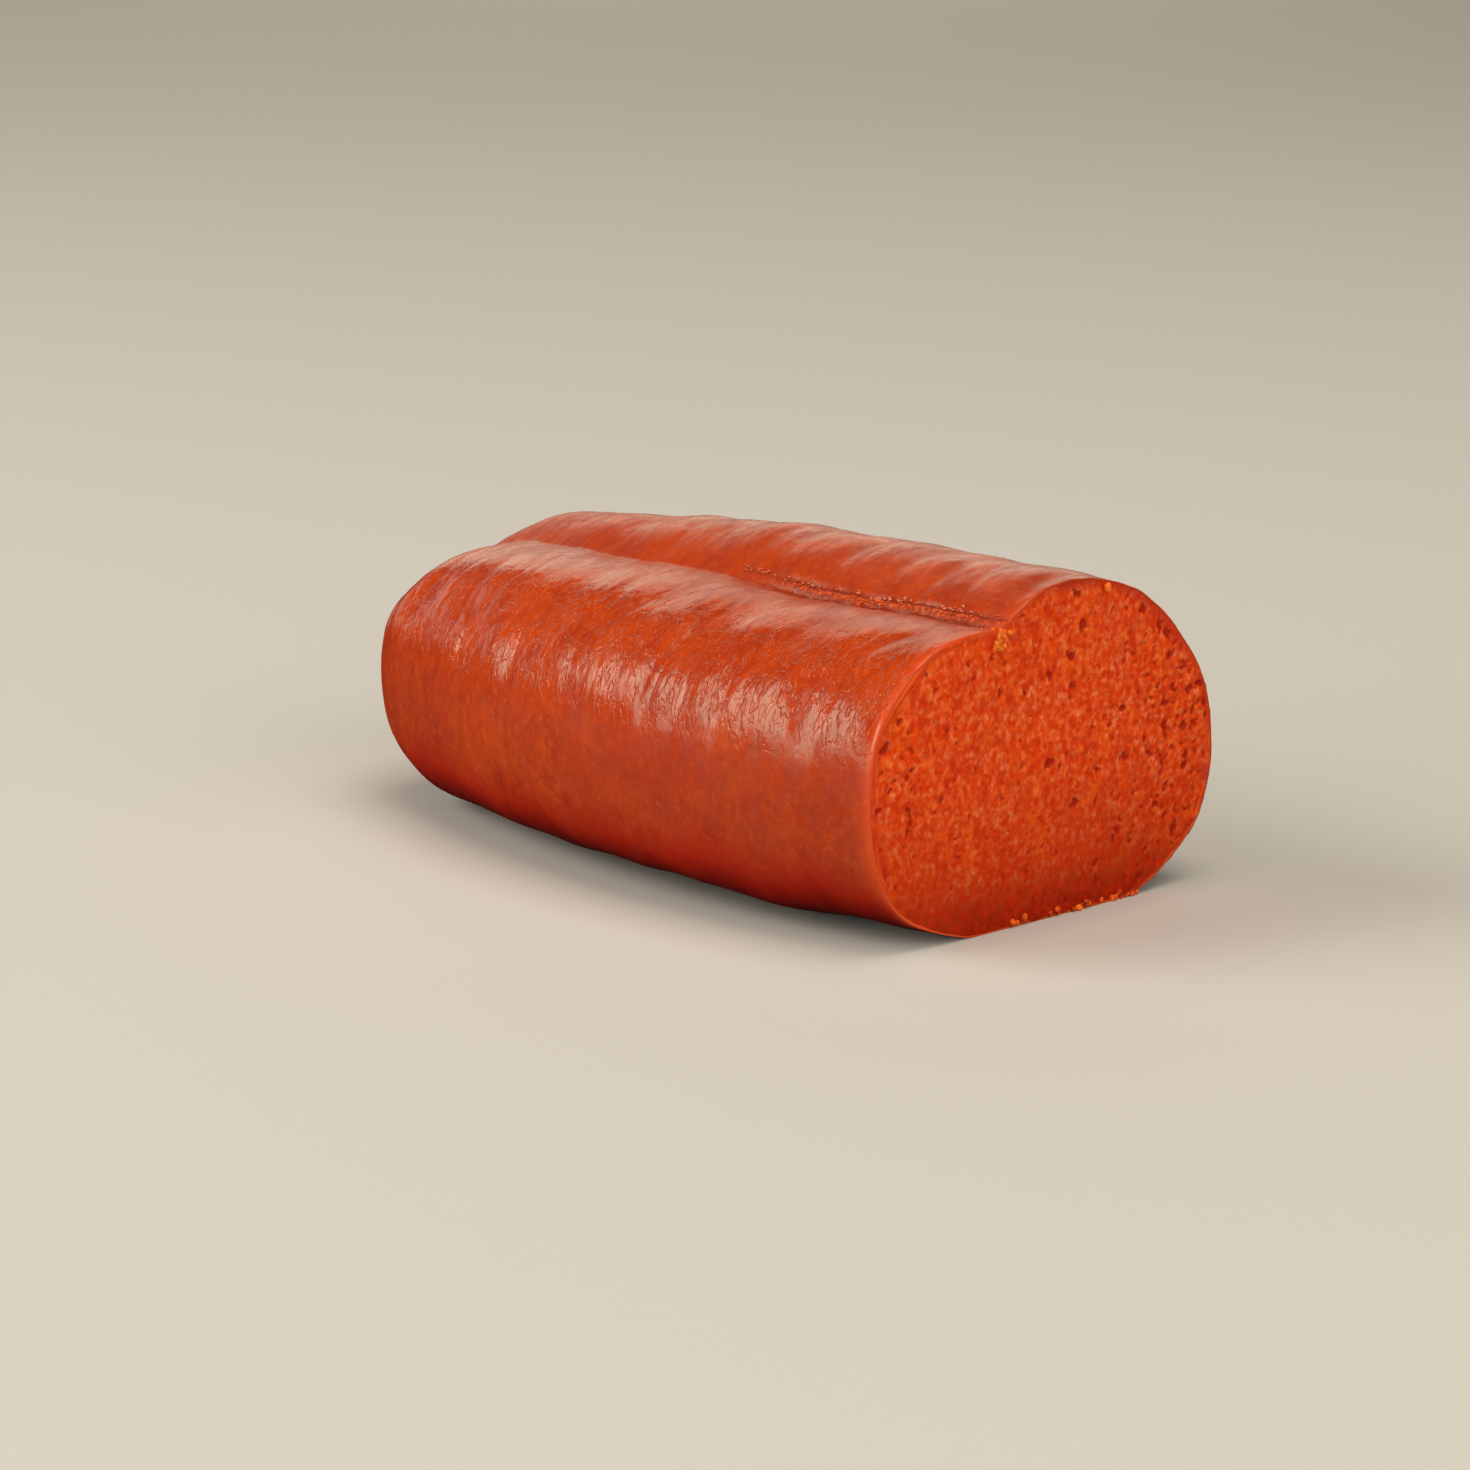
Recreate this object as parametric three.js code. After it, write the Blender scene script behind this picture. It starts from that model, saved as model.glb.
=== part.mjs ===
// A nduja: a soft, wide sausage in a natural casing, with one end cut straight across.
// It lies on its flattened underside. A groove along its top parts a low lobe from a high one.
// Sizes are in millimetres and +Z is up. +X runs along the sausage towards the cut, the low
// lobe is on the -Y side, and the origin is under the middle of the whole.
import * as THREE from 'three';

const { clamp, degToRad, lerp, smoothstep } = THREE.MathUtils;

// The body. Three values are at the closed end, halfway and at the cut.
const LENGTH = 232;
const HALF_WIDTH = [49.6, 64.6, 65.8];
const CROWN = [38.8, 52.5, 49.8]; // height of the top above the widest line
const WIDEST_LINE = [42.3, 43.5]; // its height, at the closed end and at the cut
const SAG = 1.4; // how far the soft body would reach below the board if it kept its round
const SIDEWAYS = [21.4, 0.2, 0]; // offset of the middle towards +Y
const LEAN = 3.8; // rise of the low lobe's flank, and drop of the other
const CUT_SLANT = degToRad(3); // turn of the cut away from straight across

// The closed end is a blunt dome, pulled towards the low lobe.
const DOME = { length: 38.3, bluntness: 2.37, sideways: -18.1 };

// Squareness of each quarter of the section: 2 is an ellipse, and more is boxier.
const SQUARENESS = { topLow: 1.84, topHigh: 1.92, underLow: 3.05, underHigh: 2.45 };
const QUARTER_BLEND = 3; // the higher, the shorter the passage from one quarter to the next

// The groove, and the rib of the casing's seam at its bottom.
const GROOVE_ANGLE = [95.4, 107.5, 110.2].map(degToRad); // from +Y round towards +Z
const GROOVE_DEPTH = [0.185, 0.206, 0.196]; // share of the radius
const GROOVE = { width: 0.425, roundness: 1.3 }; // width in radians, and 2 is a round bottom
const LOW_LOBE = { drop: [0.1, 0.014], blend: 0.45 }; // drop of its crown, as a share of the radius
const SEAM = { depth: 1.7, width: 0.1, rib: 1.3, ribWidth: 0.03, starts: 0.3, full: 0.55 };

// Unevenness of the stuffed casing: broad lumps, smaller ones, and one bulge low on the near side.
const LUMPS = [
  { size: 34, height: 1.1, seed: 3 },
  { size: 13, height: 0.4, seed: 8 },
];
const BULGE = { along: 0.79, length: 0.06, angle: degToRad(-128), width: 0.2, height: 1.4 };

// The cut: the casing's ragged edge and rounded rim, and the crumbly paste inside.
const RAGGED_EDGE = { size: 5, height: 0.7, reach: 6, seed: 21 };
const RIM = { width: 1.6, setBack: 0.9 };
const CRUMBS = [
  { size: 7.5, height: 0.8, seed: 31 },
  { size: 4.2, height: 0.5, seed: 37 },
];
const FACE_SWELL = { size: 30, height: 0.8, seed: 41 };
const PITS = { size: 5.2, depth: 1.7, above: 0.42, seed: 47 };

// Fineness of the faceted surface.
const COLUMNS = 96;
const COLUMN_CROWDING = 0.3; // how much closer the columns stand at the groove than opposite it
const BODY_RINGS = 40;
const RING_CROWDING = 1.5;
const FACE_RINGS = [6, 6, 5]; // rings with all columns, half of them and a quarter

// A smooth course through values at the closed end, halfway and at the cut.
function course([closed, middle, cut], s) {
  return closed * (1 - s) * (1 - 2 * s) + 4 * middle * s * (1 - s) + cut * s * (2 * s - 1);
}

// A repeatable number from 0 to 1 for a lattice corner.
function lattice(i, j, k, seed) {
  let h = Math.imul(i, 374761393) + Math.imul(j, 668265263) + Math.imul(k, 1440662683);
  h = (h + Math.imul(seed, 1274126177)) | 0;
  h = Math.imul(h ^ (h >>> 13), 1103515245);
  h ^= h >>> 16;
  return (h & 0xffff) / 0xffff;
}

// Smooth noise from -1 to 1, with features about as large as size.
function noise([x, y, z], { size, seed }) {
  const cell = [x, y, z].map((v) => Math.floor(v / size));
  const [u, v, w] = [x, y, z].map((value, axis) => {
    const t = value / size - cell[axis];
    return t * t * (3 - 2 * t);
  });
  let sum = 0;
  for (const [di, wi] of [[0, 1 - u], [1, u]]) {
    for (const [dj, wj] of [[0, 1 - v], [1, v]]) {
      for (const [dk, wk] of [[0, 1 - w], [1, w]]) {
        sum += wi * wj * wk * lattice(cell[0] + di, cell[1] + dj, cell[2] + dk, seed);
      }
    }
  }
  return 2 * sum - 1;
}

function relief(point, layers) {
  return layers.reduce((sum, layer) => sum + layer.height * noise(point, layer), 0);
}

// Radius of the section at an angle, as a share of its half width and half height.
function sectionRadius(angle) {
  const high = 0.5 + 0.5 * Math.tanh(QUARTER_BLEND * Math.cos(angle));
  const top = 0.5 + 0.5 * Math.tanh(QUARTER_BLEND * Math.sin(angle));
  const under = lerp(SQUARENESS.underLow, SQUARENESS.underHigh, high);
  const n = lerp(under, lerp(SQUARENESS.topLow, SQUARENESS.topHigh, high), top);
  return (Math.abs(Math.cos(angle)) ** n + Math.abs(Math.sin(angle)) ** n) ** (-1 / n);
}

// How far the groove and the low lobe's crown draw the section in, as a share of its radius.
function drawnIn(s, turn, angle) {
  const fromBottom = Math.abs(turn / GROOVE.width);
  const groove = course(GROOVE_DEPTH, s) * Math.exp(-(fromBottom ** GROOVE.roundness));
  const onTop = Math.sqrt(Math.max(Math.sin(angle), 0));
  const onLowLobe = onTop * (0.5 + 0.5 * Math.tanh(turn / LOW_LOBE.blend));
  const drop = lerp(...LOW_LOBE.drop, s) * onLowLobe;
  return 1 - (1 - groove) * (1 - drop);
}

// The fold at the bottom of the groove with the seam's rib in it, in millimetres.
function seamRelief(s, turn) {
  const shown = smoothstep(s, SEAM.starts, SEAM.full);
  const fold = SEAM.depth * Math.exp(-((turn / SEAM.width) ** 2));
  const rib = SEAM.rib * Math.exp(-((turn / SEAM.ribWidth) ** 2));
  return shown * (rib - fold);
}

function bulgeRelief(s, angle) {
  const along = (s - BULGE.along) / BULGE.length;
  const around = (angle - BULGE.angle) / BULGE.width;
  return BULGE.height * Math.exp(-(along ** 2) - around ** 2);
}

// The point of the casing a share s of the way to the cut, turned by turn from the groove.
function skinPoint(s, turn) {
  const grooveAngle = course(GROOVE_ANGLE, s);
  const angle = Math.atan2(Math.sin(grooveAngle + turn), Math.cos(grooveAngle + turn));
  const inDome = clamp((s * LENGTH) / DOME.length, 0, 1);
  const dome = (1 - (1 - inDome) ** DOME.bluntness) ** (1 / DOME.bluntness);
  const radius = sectionRadius(angle) * (1 - drawnIn(s, turn, angle)) * dome;
  const across = Math.cos(angle);
  const up = Math.sin(angle);
  const widestLine = lerp(...WIDEST_LINE, s);
  const halfHeight = up > 0 ? course(CROWN, s) : widestLine;
  const middle = course(SIDEWAYS, s) + DOME.sideways * (1 - inDome) ** 2;
  const y = course(HALF_WIDTH, s) * radius * across + middle;
  const z = halfHeight * radius * up + widestLine - LEAN * across * Math.abs(across) * dome;
  const x = (s - 1) * LENGTH + Math.tan(CUT_SLANT) * y * s;

  const nearCut = Math.exp(((s - 1) * LENGTH) / RAGGED_EDGE.reach);
  const ragged = nearCut * relief([x, y, z], [RAGGED_EDGE]);
  const out = relief([x, y, z], LUMPS) + bulgeRelief(s, angle) + seamRelief(s, turn) + ragged;
  return [x, y + out * dome * across, Math.max(z + out * dome * up - SAG, 0)];
}

// A point of the cut, the share inward of the way from its edge to its centre.
function facePoint(edge, centre, inward) {
  const y = lerp(edge[1], centre[1], inward);
  const z = lerp(edge[2], centre[2], inward);
  const fromEdge = inward * Math.hypot(edge[1] - centre[1], edge[2] - centre[2]);
  const paste = smoothstep(fromEdge, 0, RIM.width);
  const pit = Math.max(noise([0, y, z], PITS) - PITS.above, 0) / (1 - PITS.above);
  const swell = relief([0, y, z], [FACE_SWELL]);
  const crumbs = relief([0, y, z], CRUMBS) - PITS.depth * pit;
  return [Math.tan(CUT_SLANT) * y + paste * (RIM.setBack + swell + crumbs), y, z];
}

// Columns of points run round from opposite the groove, with one right in the groove.
function turnOfColumn(column) {
  const even = Math.PI * ((2 * column) / COLUMNS - 1);
  return even - COLUMN_CROWDING * Math.sin(even);
}

// All rings of points from the closed end to the cut's edge, and on over the cut to its centre.
function ringsOfPoints() {
  const rings = [[skinPoint(0, 0)]];
  for (let i = 1; i <= BODY_RINGS; i += 1) {
    const s = (i / BODY_RINGS) ** RING_CROWDING;
    rings.push(Array.from({ length: COLUMNS }, (_, j) => skinPoint(s, turnOfColumn(j))));
  }
  const edge = rings[BODY_RINGS];
  const centre = [0, 0, (lerp(...WIDEST_LINE, 1) + course(CROWN, 1)) / 2];
  const count = FACE_RINGS.reduce((sum, inBand) => sum + inBand, 0);
  const rimShare = RIM.width / centre[2];
  let ring = 0;
  FACE_RINGS.forEach((inBand, band) => {
    const step = 2 ** band;
    for (let i = 0; i < inBand; i += 1) {
      const inward = rimShare + (1 - rimShare) * (ring / count);
      rings.push(edge.filter((_, j) => j % step === 0).map((point) => facePoint(point, centre, inward)));
      ring += 1;
    }
  });
  rings.push([facePoint(edge[0], centre, 1)]);
  return rings;
}

// Triangles between two rings, of which the second has as many points, half as many or one.
function stitch(first, second) {
  const triangles = [];
  const step = second.length > 1 ? first.length / second.length : 1;
  const at = (ring, j) => ring[j % ring.length];
  if (first.length === 1) {
    second.forEach((point, j) => triangles.push([first[0], at(second, j + 1), point]));
  } else if (second.length === 1) {
    first.forEach((point, j) => triangles.push([point, at(first, j + 1), second[0]]));
  } else if (step === 1) {
    first.forEach((point, j) => {
      const leaning = j % 2 === 0;
      triangles.push([point, at(first, j + 1), leaning ? second[j] : at(second, j + 1)]);
      triangles.push([leaning ? at(first, j + 1) : point, at(second, j + 1), second[j]]);
    });
  } else {
    second.forEach((point, j) => {
      triangles.push([first[2 * j], first[2 * j + 1], point]);
      triangles.push([first[2 * j + 1], at(second, j + 1), point]);
      triangles.push([first[2 * j + 1], at(first, 2 * j + 2), at(second, j + 1)]);
    });
  }
  return triangles;
}

function bodyGeometry() {
  const rings = ringsOfPoints();
  const positions = rings.flat(2);
  let next = 0;
  const numbered = rings.map((ring) => ring.map(() => next++));
  const triangles = numbered.slice(1).flatMap((ring, i) => stitch(numbered[i], ring));
  const geometry = new THREE.BufferGeometry();
  geometry.setAttribute('position', new THREE.Float32BufferAttribute(positions, 3));
  geometry.setIndex(triangles.flat());
  geometry.computeVertexNormals();
  return geometry;
}

// Moves the geometry so that the origin is under the middle of its box.
function standOnOrigin(geometry) {
  geometry.computeBoundingBox();
  const { min, max } = geometry.boundingBox;
  return geometry.translate(-(min.x + max.x) / 2, -(min.y + max.y) / 2, -min.z);
}

const casing = new THREE.MeshStandardMaterial({ color: 0xb5421d, roughness: 0.35, metalness: 0 });

const nduja = new THREE.Mesh(standOnOrigin(bodyGeometry()), casing);
nduja.name = 'nduja';

const group = new THREE.Group();
group.add(nduja);

export default group;
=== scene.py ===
# The looks of a nduja, a soft wide sausage in a natural casing with one end cut across.
# The shape is worked out in millimetres, as the solid's is, and meshes are made in metres.
import math

import bmesh
import bpy
import numpy as np
from mathutils import Matrix, Vector


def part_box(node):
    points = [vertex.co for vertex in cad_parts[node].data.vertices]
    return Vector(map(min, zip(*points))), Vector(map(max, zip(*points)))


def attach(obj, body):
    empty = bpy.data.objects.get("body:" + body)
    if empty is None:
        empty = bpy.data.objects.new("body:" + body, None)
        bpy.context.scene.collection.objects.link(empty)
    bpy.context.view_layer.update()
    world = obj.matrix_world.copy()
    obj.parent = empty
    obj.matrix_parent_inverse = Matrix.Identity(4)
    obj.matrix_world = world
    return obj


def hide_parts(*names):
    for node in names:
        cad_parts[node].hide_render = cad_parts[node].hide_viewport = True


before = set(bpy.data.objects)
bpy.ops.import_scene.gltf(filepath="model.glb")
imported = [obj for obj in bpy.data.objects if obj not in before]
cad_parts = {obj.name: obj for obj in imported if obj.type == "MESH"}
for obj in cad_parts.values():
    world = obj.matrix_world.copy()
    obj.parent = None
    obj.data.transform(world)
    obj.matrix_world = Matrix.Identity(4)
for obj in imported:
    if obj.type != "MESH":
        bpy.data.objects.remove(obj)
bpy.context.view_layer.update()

MM = 0.001
NODE = "nduja"

# The body, as in the solid. Three values are at the closed end, halfway and at the cut.
LENGTH = 232.0
HALF_WIDTH = (49.6, 64.6, 65.8)
CROWN = (38.8, 52.5, 49.8)
WIDEST_LINE = (42.3, 43.5)
SAG = 1.4
SIDEWAYS = (21.4, 0.2, 0.0)
LEAN = 3.8
CUT_SLANT = math.radians(3)
DOME_LENGTH, DOME_BLUNTNESS, DOME_SIDEWAYS = 38.3, 2.37, -18.1
TOP_LOW, TOP_HIGH, UNDER_LOW, UNDER_HIGH = 1.84, 1.92, 3.05, 2.45
QUARTER_BLEND = 3
GROOVE_ANGLE = tuple(math.radians(a) for a in (95.4, 107.5, 110.2))
GROOVE_DEPTH = (0.185, 0.206, 0.196)
GROOVE_WIDTH, GROOVE_ROUNDNESS = 0.425, 1.3
LOW_LOBE_DROP, LOW_LOBE_BLEND = (0.1, 0.014), 0.45
LUMPS = ((34, 1.1, 3), (13, 0.4, 8))
BULGE = {"along": 0.79, "length": 0.06, "angle": math.radians(-128), "width": 0.2, "height": 1.4}
RAGGED_EDGE, RAGGED_REACH = (5, 0.7, 21), 6
# How uneven the cut's edge is, by the angle round the cut in degrees.
RAGGED_ZONES = (
    (-180, 0.2), (-110, 0.3), (-90, 1), (-50, 1.3), (-10, 1.3), (15, 0.3), (60, 0.15), (180, 0.2),
)
FACE_SWELL = (30, 0.8, 41)

# The camera, from the photograph: its focal length and the foot of the cut in a 1470-pixel frame.
PHOTO_SIZE = 1470
FOCAL_PIXELS = 4600
CUT_FOOT_PIXEL = (1043.3, 919.1)
CAMERA_AZIMUTH = math.radians(43.45)
CAMERA_ELEVATION = math.radians(12.8)
CAMERA_DISTANCE = 1.196
SENSOR = 36.0


def clamp01(v):
    return np.clip(v, 0.0, 1.0)


def smoothstep(v, low, high):
    t = clamp01((v - low) / (high - low))
    return t * t * (3 - 2 * t)


def mix(a, b, share):
    return a + (b - a) * share


def bell(v, width):
    return np.exp(-((v / width) ** 2))


def course(values, s):
    closed, middle, cut = values
    return closed * (1 - s) * (1 - 2 * s) + 4 * middle * s * (1 - s) + cut * s * (2 * s - 1)


def lattice(i, j, k, seed):
    """A repeatable number from 0 to 1 for each lattice corner."""
    i, j, k = (np.asarray(v, np.int64).astype(np.uint32) for v in (i, j, k))
    salt = np.uint32(seed * 1274126177 & 0xFFFFFFFF)
    h = i * np.uint32(374761393) + j * np.uint32(668265263) + k * np.uint32(1440662683) + salt
    h = (h ^ (h >> np.uint32(13))) * np.uint32(1103515245)
    h = h ^ (h >> np.uint32(16))
    return (h & np.uint32(0xFFFF)) / 65535.0


def noise(x, y, z, size, seed):
    """Smooth noise from -1 to 1 with features about as large as size."""
    cells, shares = [], []
    for v in (x, y, z):
        cell = np.floor(v / size)
        t = v / size - cell
        cells.append(cell)
        shares.append(t * t * (3 - 2 * t))
    total = 0.0
    for di in (0, 1):
        for dj in (0, 1):
            for dk in (0, 1):
                weight = 1.0
                for step, share in zip((di, dj, dk), shares):
                    weight = weight * (share if step else 1 - share)
                total = total + weight * lattice(cells[0] + di, cells[1] + dj, cells[2] + dk, seed)
    return 2 * total - 1


def relief(x, y, z, layers):
    return sum(height * noise(x, y, z, size, seed) for size, height, seed in layers)


# The casing's surface

def section_radius(angle):
    high = 0.5 + 0.5 * np.tanh(QUARTER_BLEND * np.cos(angle))
    top = 0.5 + 0.5 * np.tanh(QUARTER_BLEND * np.sin(angle))
    n = mix(mix(UNDER_LOW, UNDER_HIGH, high), mix(TOP_LOW, TOP_HIGH, high), top)
    return (np.abs(np.cos(angle)) ** n + np.abs(np.sin(angle)) ** n) ** (-1 / n)


def drawn_in(s, turn, angle):
    groove = course(GROOVE_DEPTH, s) * np.exp(-(np.abs(turn / GROOVE_WIDTH) ** GROOVE_ROUNDNESS))
    on_top = np.sqrt(np.maximum(np.sin(angle), 0))
    drop = mix(*LOW_LOBE_DROP, s) * on_top * (0.5 + 0.5 * np.tanh(turn / LOW_LOBE_BLEND))
    return 1 - (1 - groove) * (1 - drop)


def angle_at(s, turn):
    angle = course(GROOVE_ANGLE, s) + turn
    return np.arctan2(np.sin(angle), np.cos(angle))


# The seam in the groove: a sharp fold, a band of residue on the high side, and a second fold above it.
SEAM_STARTS, SEAM_FULL = 0.57, 0.78
SEAM_FOLD = {"turn": 0.0, "width": 0.03, "height": -1.0}
SEAM_BAND = {"turn": -0.036, "width": 0.022, "height": 0.45}
SEAM_UPPER = {"turn": -0.072, "width": 0.026, "height": -0.5}
SEAM_WANDER = (9, 0.012, 31)
SEAM_LUMPS = (2.2, 0.9, 32)
# Millimetres across the seam for each radian, which the lumps' noise is read with.
SEAM_ARM = 30


def wander(s):
    """How far the seam strays from the bottom of the groove, as an angle."""
    size, reach, seed = SEAM_WANDER
    return reach * noise(s * LENGTH, 0 * s, 0 * s, size, seed)


def seam_relief(s, turn):
    shown = smoothstep(s, SEAM_STARTS, SEAM_FULL)
    size, lumpy, seed = SEAM_LUMPS
    uneven = 1 + lumpy * noise(s * LENGTH, SEAM_ARM * turn, 0 * s, size, seed)
    turn = turn - wander(s)
    parts = (SEAM_FOLD, SEAM_BAND, SEAM_UPPER)
    return shown * uneven * sum(p["height"] * bell(turn - p["turn"], p["width"]) for p in parts)


def skin(s, turn):
    """The casing's points in millimetres, with its broad unevenness."""
    angle = angle_at(s, turn)
    in_dome = clamp01(s * LENGTH / DOME_LENGTH)
    dome = (1 - (1 - in_dome) ** DOME_BLUNTNESS) ** (1 / DOME_BLUNTNESS)
    radius = section_radius(angle) * (1 - drawn_in(s, turn, angle)) * dome
    across, up = np.cos(angle), np.sin(angle)
    widest_line = mix(*WIDEST_LINE, s)
    half_height = np.where(up > 0, course(CROWN, s), widest_line)
    middle = course(SIDEWAYS, s) + DOME_SIDEWAYS * (1 - in_dome) ** 2
    y = course(HALF_WIDTH, s) * radius * across + middle
    z = half_height * radius * up + widest_line - LEAN * across * np.abs(across) * dome
    x = (s - 1) * LENGTH + math.tan(CUT_SLANT) * y * s
    bulge = BULGE["height"] * bell(s - BULGE["along"], BULGE["length"])
    bulge = bulge * bell(angle - BULGE["angle"], BULGE["width"])
    ragged = np.exp((s - 1) * LENGTH / RAGGED_REACH) * relief(x, y, z, (RAGGED_EDGE,))
    ragged = ragged * np.interp(np.degrees(angle), *zip(*RAGGED_ZONES))
    out = relief(x, y, z, LUMPS) + bulge + seam_relief(s, turn) + ragged
    return np.stack([x, y + out * dome * across, np.maximum(z + out * dome * up - SAG, 0)], -1)


def grid_normals(points):
    around = np.roll(points, -1, 1) - np.roll(points, 1, 1)
    along = np.gradient(points, axis=0)
    normals = np.cross(around, along)
    length = np.linalg.norm(normals, axis=2, keepdims=True)
    return normals / np.maximum(length, 1e-9)


# Wrinkles run round the girth, so they are worked out in a space that is squeezed round it: soft
# folds, puffs with a sharp valley between them, and creases, which are the walls of a cell network.
# Folds and puffs list size, height, squeeze and seed. A zone lists an angle from +Y towards +Z in
# degrees, and the strength of puffs and of creases there.
FOLDS = ((14, 0.3, 3.2, 51), (5.0, 0.07, 3.0, 52))
FOLD_GAIN = 1.1
PUFFS = ((12.5, 0.85, 2.3, 63), (4.4, 0.14, 2.1, 64))
PUFF_CROWN, PUFF_LEVEL = 0.5, 0.8
VALLEY_WIDTH, DULL_VALLEY, DULL_WIDTH = 0.33, 0.75, 0.4
CREASES = {"size": 6.0, "squeeze": 2.6, "width": 0.13, "depth": 0.13, "seed": 55}
WARPS = ((9, 2.0, 59), (3, 0.8, 65))
WARP_SQUEEZE = 1.5
ZONES = (
    (-180, 0.12, 0.1), (-150, 0.1, 0.05), (-100, 0.15, 0.1), (-60, 0.3, 0.3), (0, 0.4, 0.4),
    (45, 0.4, 0.2), (74, 0.35, 0.1), (86, 0.9, 0.1), (98, 0.6, 0.05), (112, 0.25, 0.05),
    (125, 0.4, 0.12), (140, 1.0, 1.0), (163, 1.0, 0.9), (176, 0.15, 0.1), (180, 0.12, 0.1),
)
# How glossy the casing is, by the same angle.
GLOSS = (
    (-180, 0.5), (-150, 0.1), (30, 0.1), (50, 0.5), (80, 0.5),
    (96, 0.1), (118, 0.5), (128, 1.0), (172, 1.0), (180, 0.5),
)
# The finer puffs are higher near the closed end, round one angle: how much, along which part of the
# length it fades, and that angle with its width in degrees.
FINER_PUFFS = {"gain": 1.8, "along": (0.1, 0.6), "around": (150, 22)}
# The rest is weaker near the closed end: the share left there, the part of the length over which it
# comes back, and the angle and width it is kept to, where it is.
WEAKER_CREST = {"left": 0.8, "along": (0.2, 0.7), "around": (92, 28)}
WEAKER_PUFFS = {"left": 0.7, "along": (0.03, 0.12)}
WEAKER_CREASES = {"left": 0.5, "along": (0.05, 0.2)}
DULLER_CREST = {"left": 0.1, "along": (0.15, 0.5), "around": (65, 25)}


def squeezed(points, squeeze):
    return points[..., 0], points[..., 1] / squeeze, points[..., 2] / squeeze


def cell_edges(x, y, z, size, seed):
    """0 on the walls between the cells of a random network and growing inwards, in cell sizes."""
    cx, cy, cz = np.floor(x / size), np.floor(y / size), np.floor(z / size)
    first, second = np.full(x.shape, 9.0), np.full(x.shape, 9.0)
    for di in (-1, 0, 1):
        for dj in (-1, 0, 1):
            for dk in (-1, 0, 1):
                i, j, k = cx + di, cy + dj, cz + dk
                own = [lattice(i, j, k, seed + 1000 * n) for n in range(3)]
                dx, dy, dz = x / size - i - own[0], y / size - j - own[1], z / size - k - own[2]
                away = np.sqrt(dx**2 + dy**2 + dz**2)
                second = np.minimum(second, np.maximum(first, away))
                first = np.minimum(first, away)
    return second - first


def weakened(s, degrees, left, along, around=None):
    """A share from left, at the closed end, to 1, at all angles or near one of them only."""
    share = mix(left, 1.0, smoothstep(s, *along))
    if around is None:
        return share
    angle, width = around
    return mix(1.0, share, bell(degrees - angle, width))


def wrinkles(s, angle, points):
    """At each point the height of all wrinkles in millimetres, the creases' strength and the gloss."""
    angles, puff_strength, crease_strength = zip(*ZONES)
    degrees = np.degrees(angle)
    finer_angle, finer_width = FINER_PUFFS["around"]
    finer = bell(degrees - finer_angle, finer_width) * (FINER_PUFFS["gain"] - 1)
    finer = finer * (1 - smoothstep(s, *FINER_PUFFS["along"]))
    puffed = np.interp(degrees, angles, puff_strength)
    puffed = puffed * weakened(s, degrees, **WEAKER_CREST) * weakened(s, degrees, **WEAKER_PUFFS)
    creased = np.interp(degrees, angles, crease_strength) * weakened(s, degrees, **WEAKER_CREASES)
    warped = points
    for size, shift, seed in WARPS:
        place = squeezed(points, WARP_SQUEEZE)
        warped = warped + shift * np.stack([noise(*place, size, seed + n) for n in range(3)], -1)
    gloss = np.interp(degrees, *zip(*GLOSS)) * weakened(s, degrees, **DULLER_CREST)
    height = 0.0
    for size, rise, squeeze, seed in FOLDS:
        height = height + rise * (1 + FOLD_GAIN * puffed) * noise(*squeezed(points, squeeze), size, seed)
    for level, (size, rise, squeeze, seed) in enumerate(PUFFS):
        wave = noise(*squeezed(warped, squeeze), size, seed)
        plateau = 1 - bell(wave, VALLEY_WIDTH)
        if level == 0:
            gloss = gloss * mix(DULL_VALLEY, 1.0, 1 - bell(wave, DULL_WIDTH))
        shape = plateau + PUFF_CROWN * np.abs(wave) - PUFF_LEVEL
        height = height + puffed * rise * (1 + level * finer) * shape
    x, y, z = squeezed(warped, CREASES["squeeze"])
    valley = bell(cell_edges(x, y, z, CREASES["size"], CREASES["seed"]), CREASES["width"])
    return height - creased * CREASES["depth"] * valley, creased, gloss


CASING_COLUMNS = 300
DOME_RINGS, BODY_RINGS = 68, 250
COLUMN_CROWDING = 0.5
EASE_PASSES, EASE_REACH = 120, 0.5
CREPE = ((2.2, 0.035, 61),)
CREPE_SQUEEZE = 2.5
# Wrinkles come in over these heights above the flat underside.
WRINKLES_RISE = (0.0, 6.0)
# Painted shade: the casing's colour gets darker downwards in two steps, over these heights, along an uneven
# edge.
LOW_SHADE, FOOT_SHADE = (10, 30), (2, 19)
FOOT_SHADE_EDGE = ((12, 3.0, 58), (5, 1.5, 59))
FOOT_SHADE_SQUEEZE = 2.0
# Widths, as angles, of the seam's colours: its band of residue, and the painted shade in its fold and its
# upper fold.
BAND_TONE, FOLD_SHADE, UPPER_FOLD_SHADE = 0.026, 0.02, 0.014
# The angle and width of the painted shade in the groove, and in degrees the angle and width of the painted
# pinkish sheen on the low lobe's side.
GROOVE_SHADE = (-0.05, 0.3)
SIDE_SHEEN = (178, 30)

# The rim: millimetres in from the edge and forward of it, from the skin round to the inside.
RIM_STEPS = ((0.1, 0.14), (0.3, 0.28), (0.6, 0.36), (0.9, 0.34), (1.2, 0.22), (1.45, -0.4), (1.6, -2.6))
RIM_WIDTH = {"smeared": 0.8, "bare": 0.35}
RIM_LIP = {"smeared": 0.2, "bare": 0.1}
RIM_FADE = 1.8
RIM_DEPTH = -2.8
# How strongly the rim is tinted: on the skin beside it, and on the rim itself where it is bare.
RIM_TONE, BARE_RIM_TONE = 0.8, 0.3
SMEARED_BLEND, SMEARED_FROM = 4, 0.2


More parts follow.
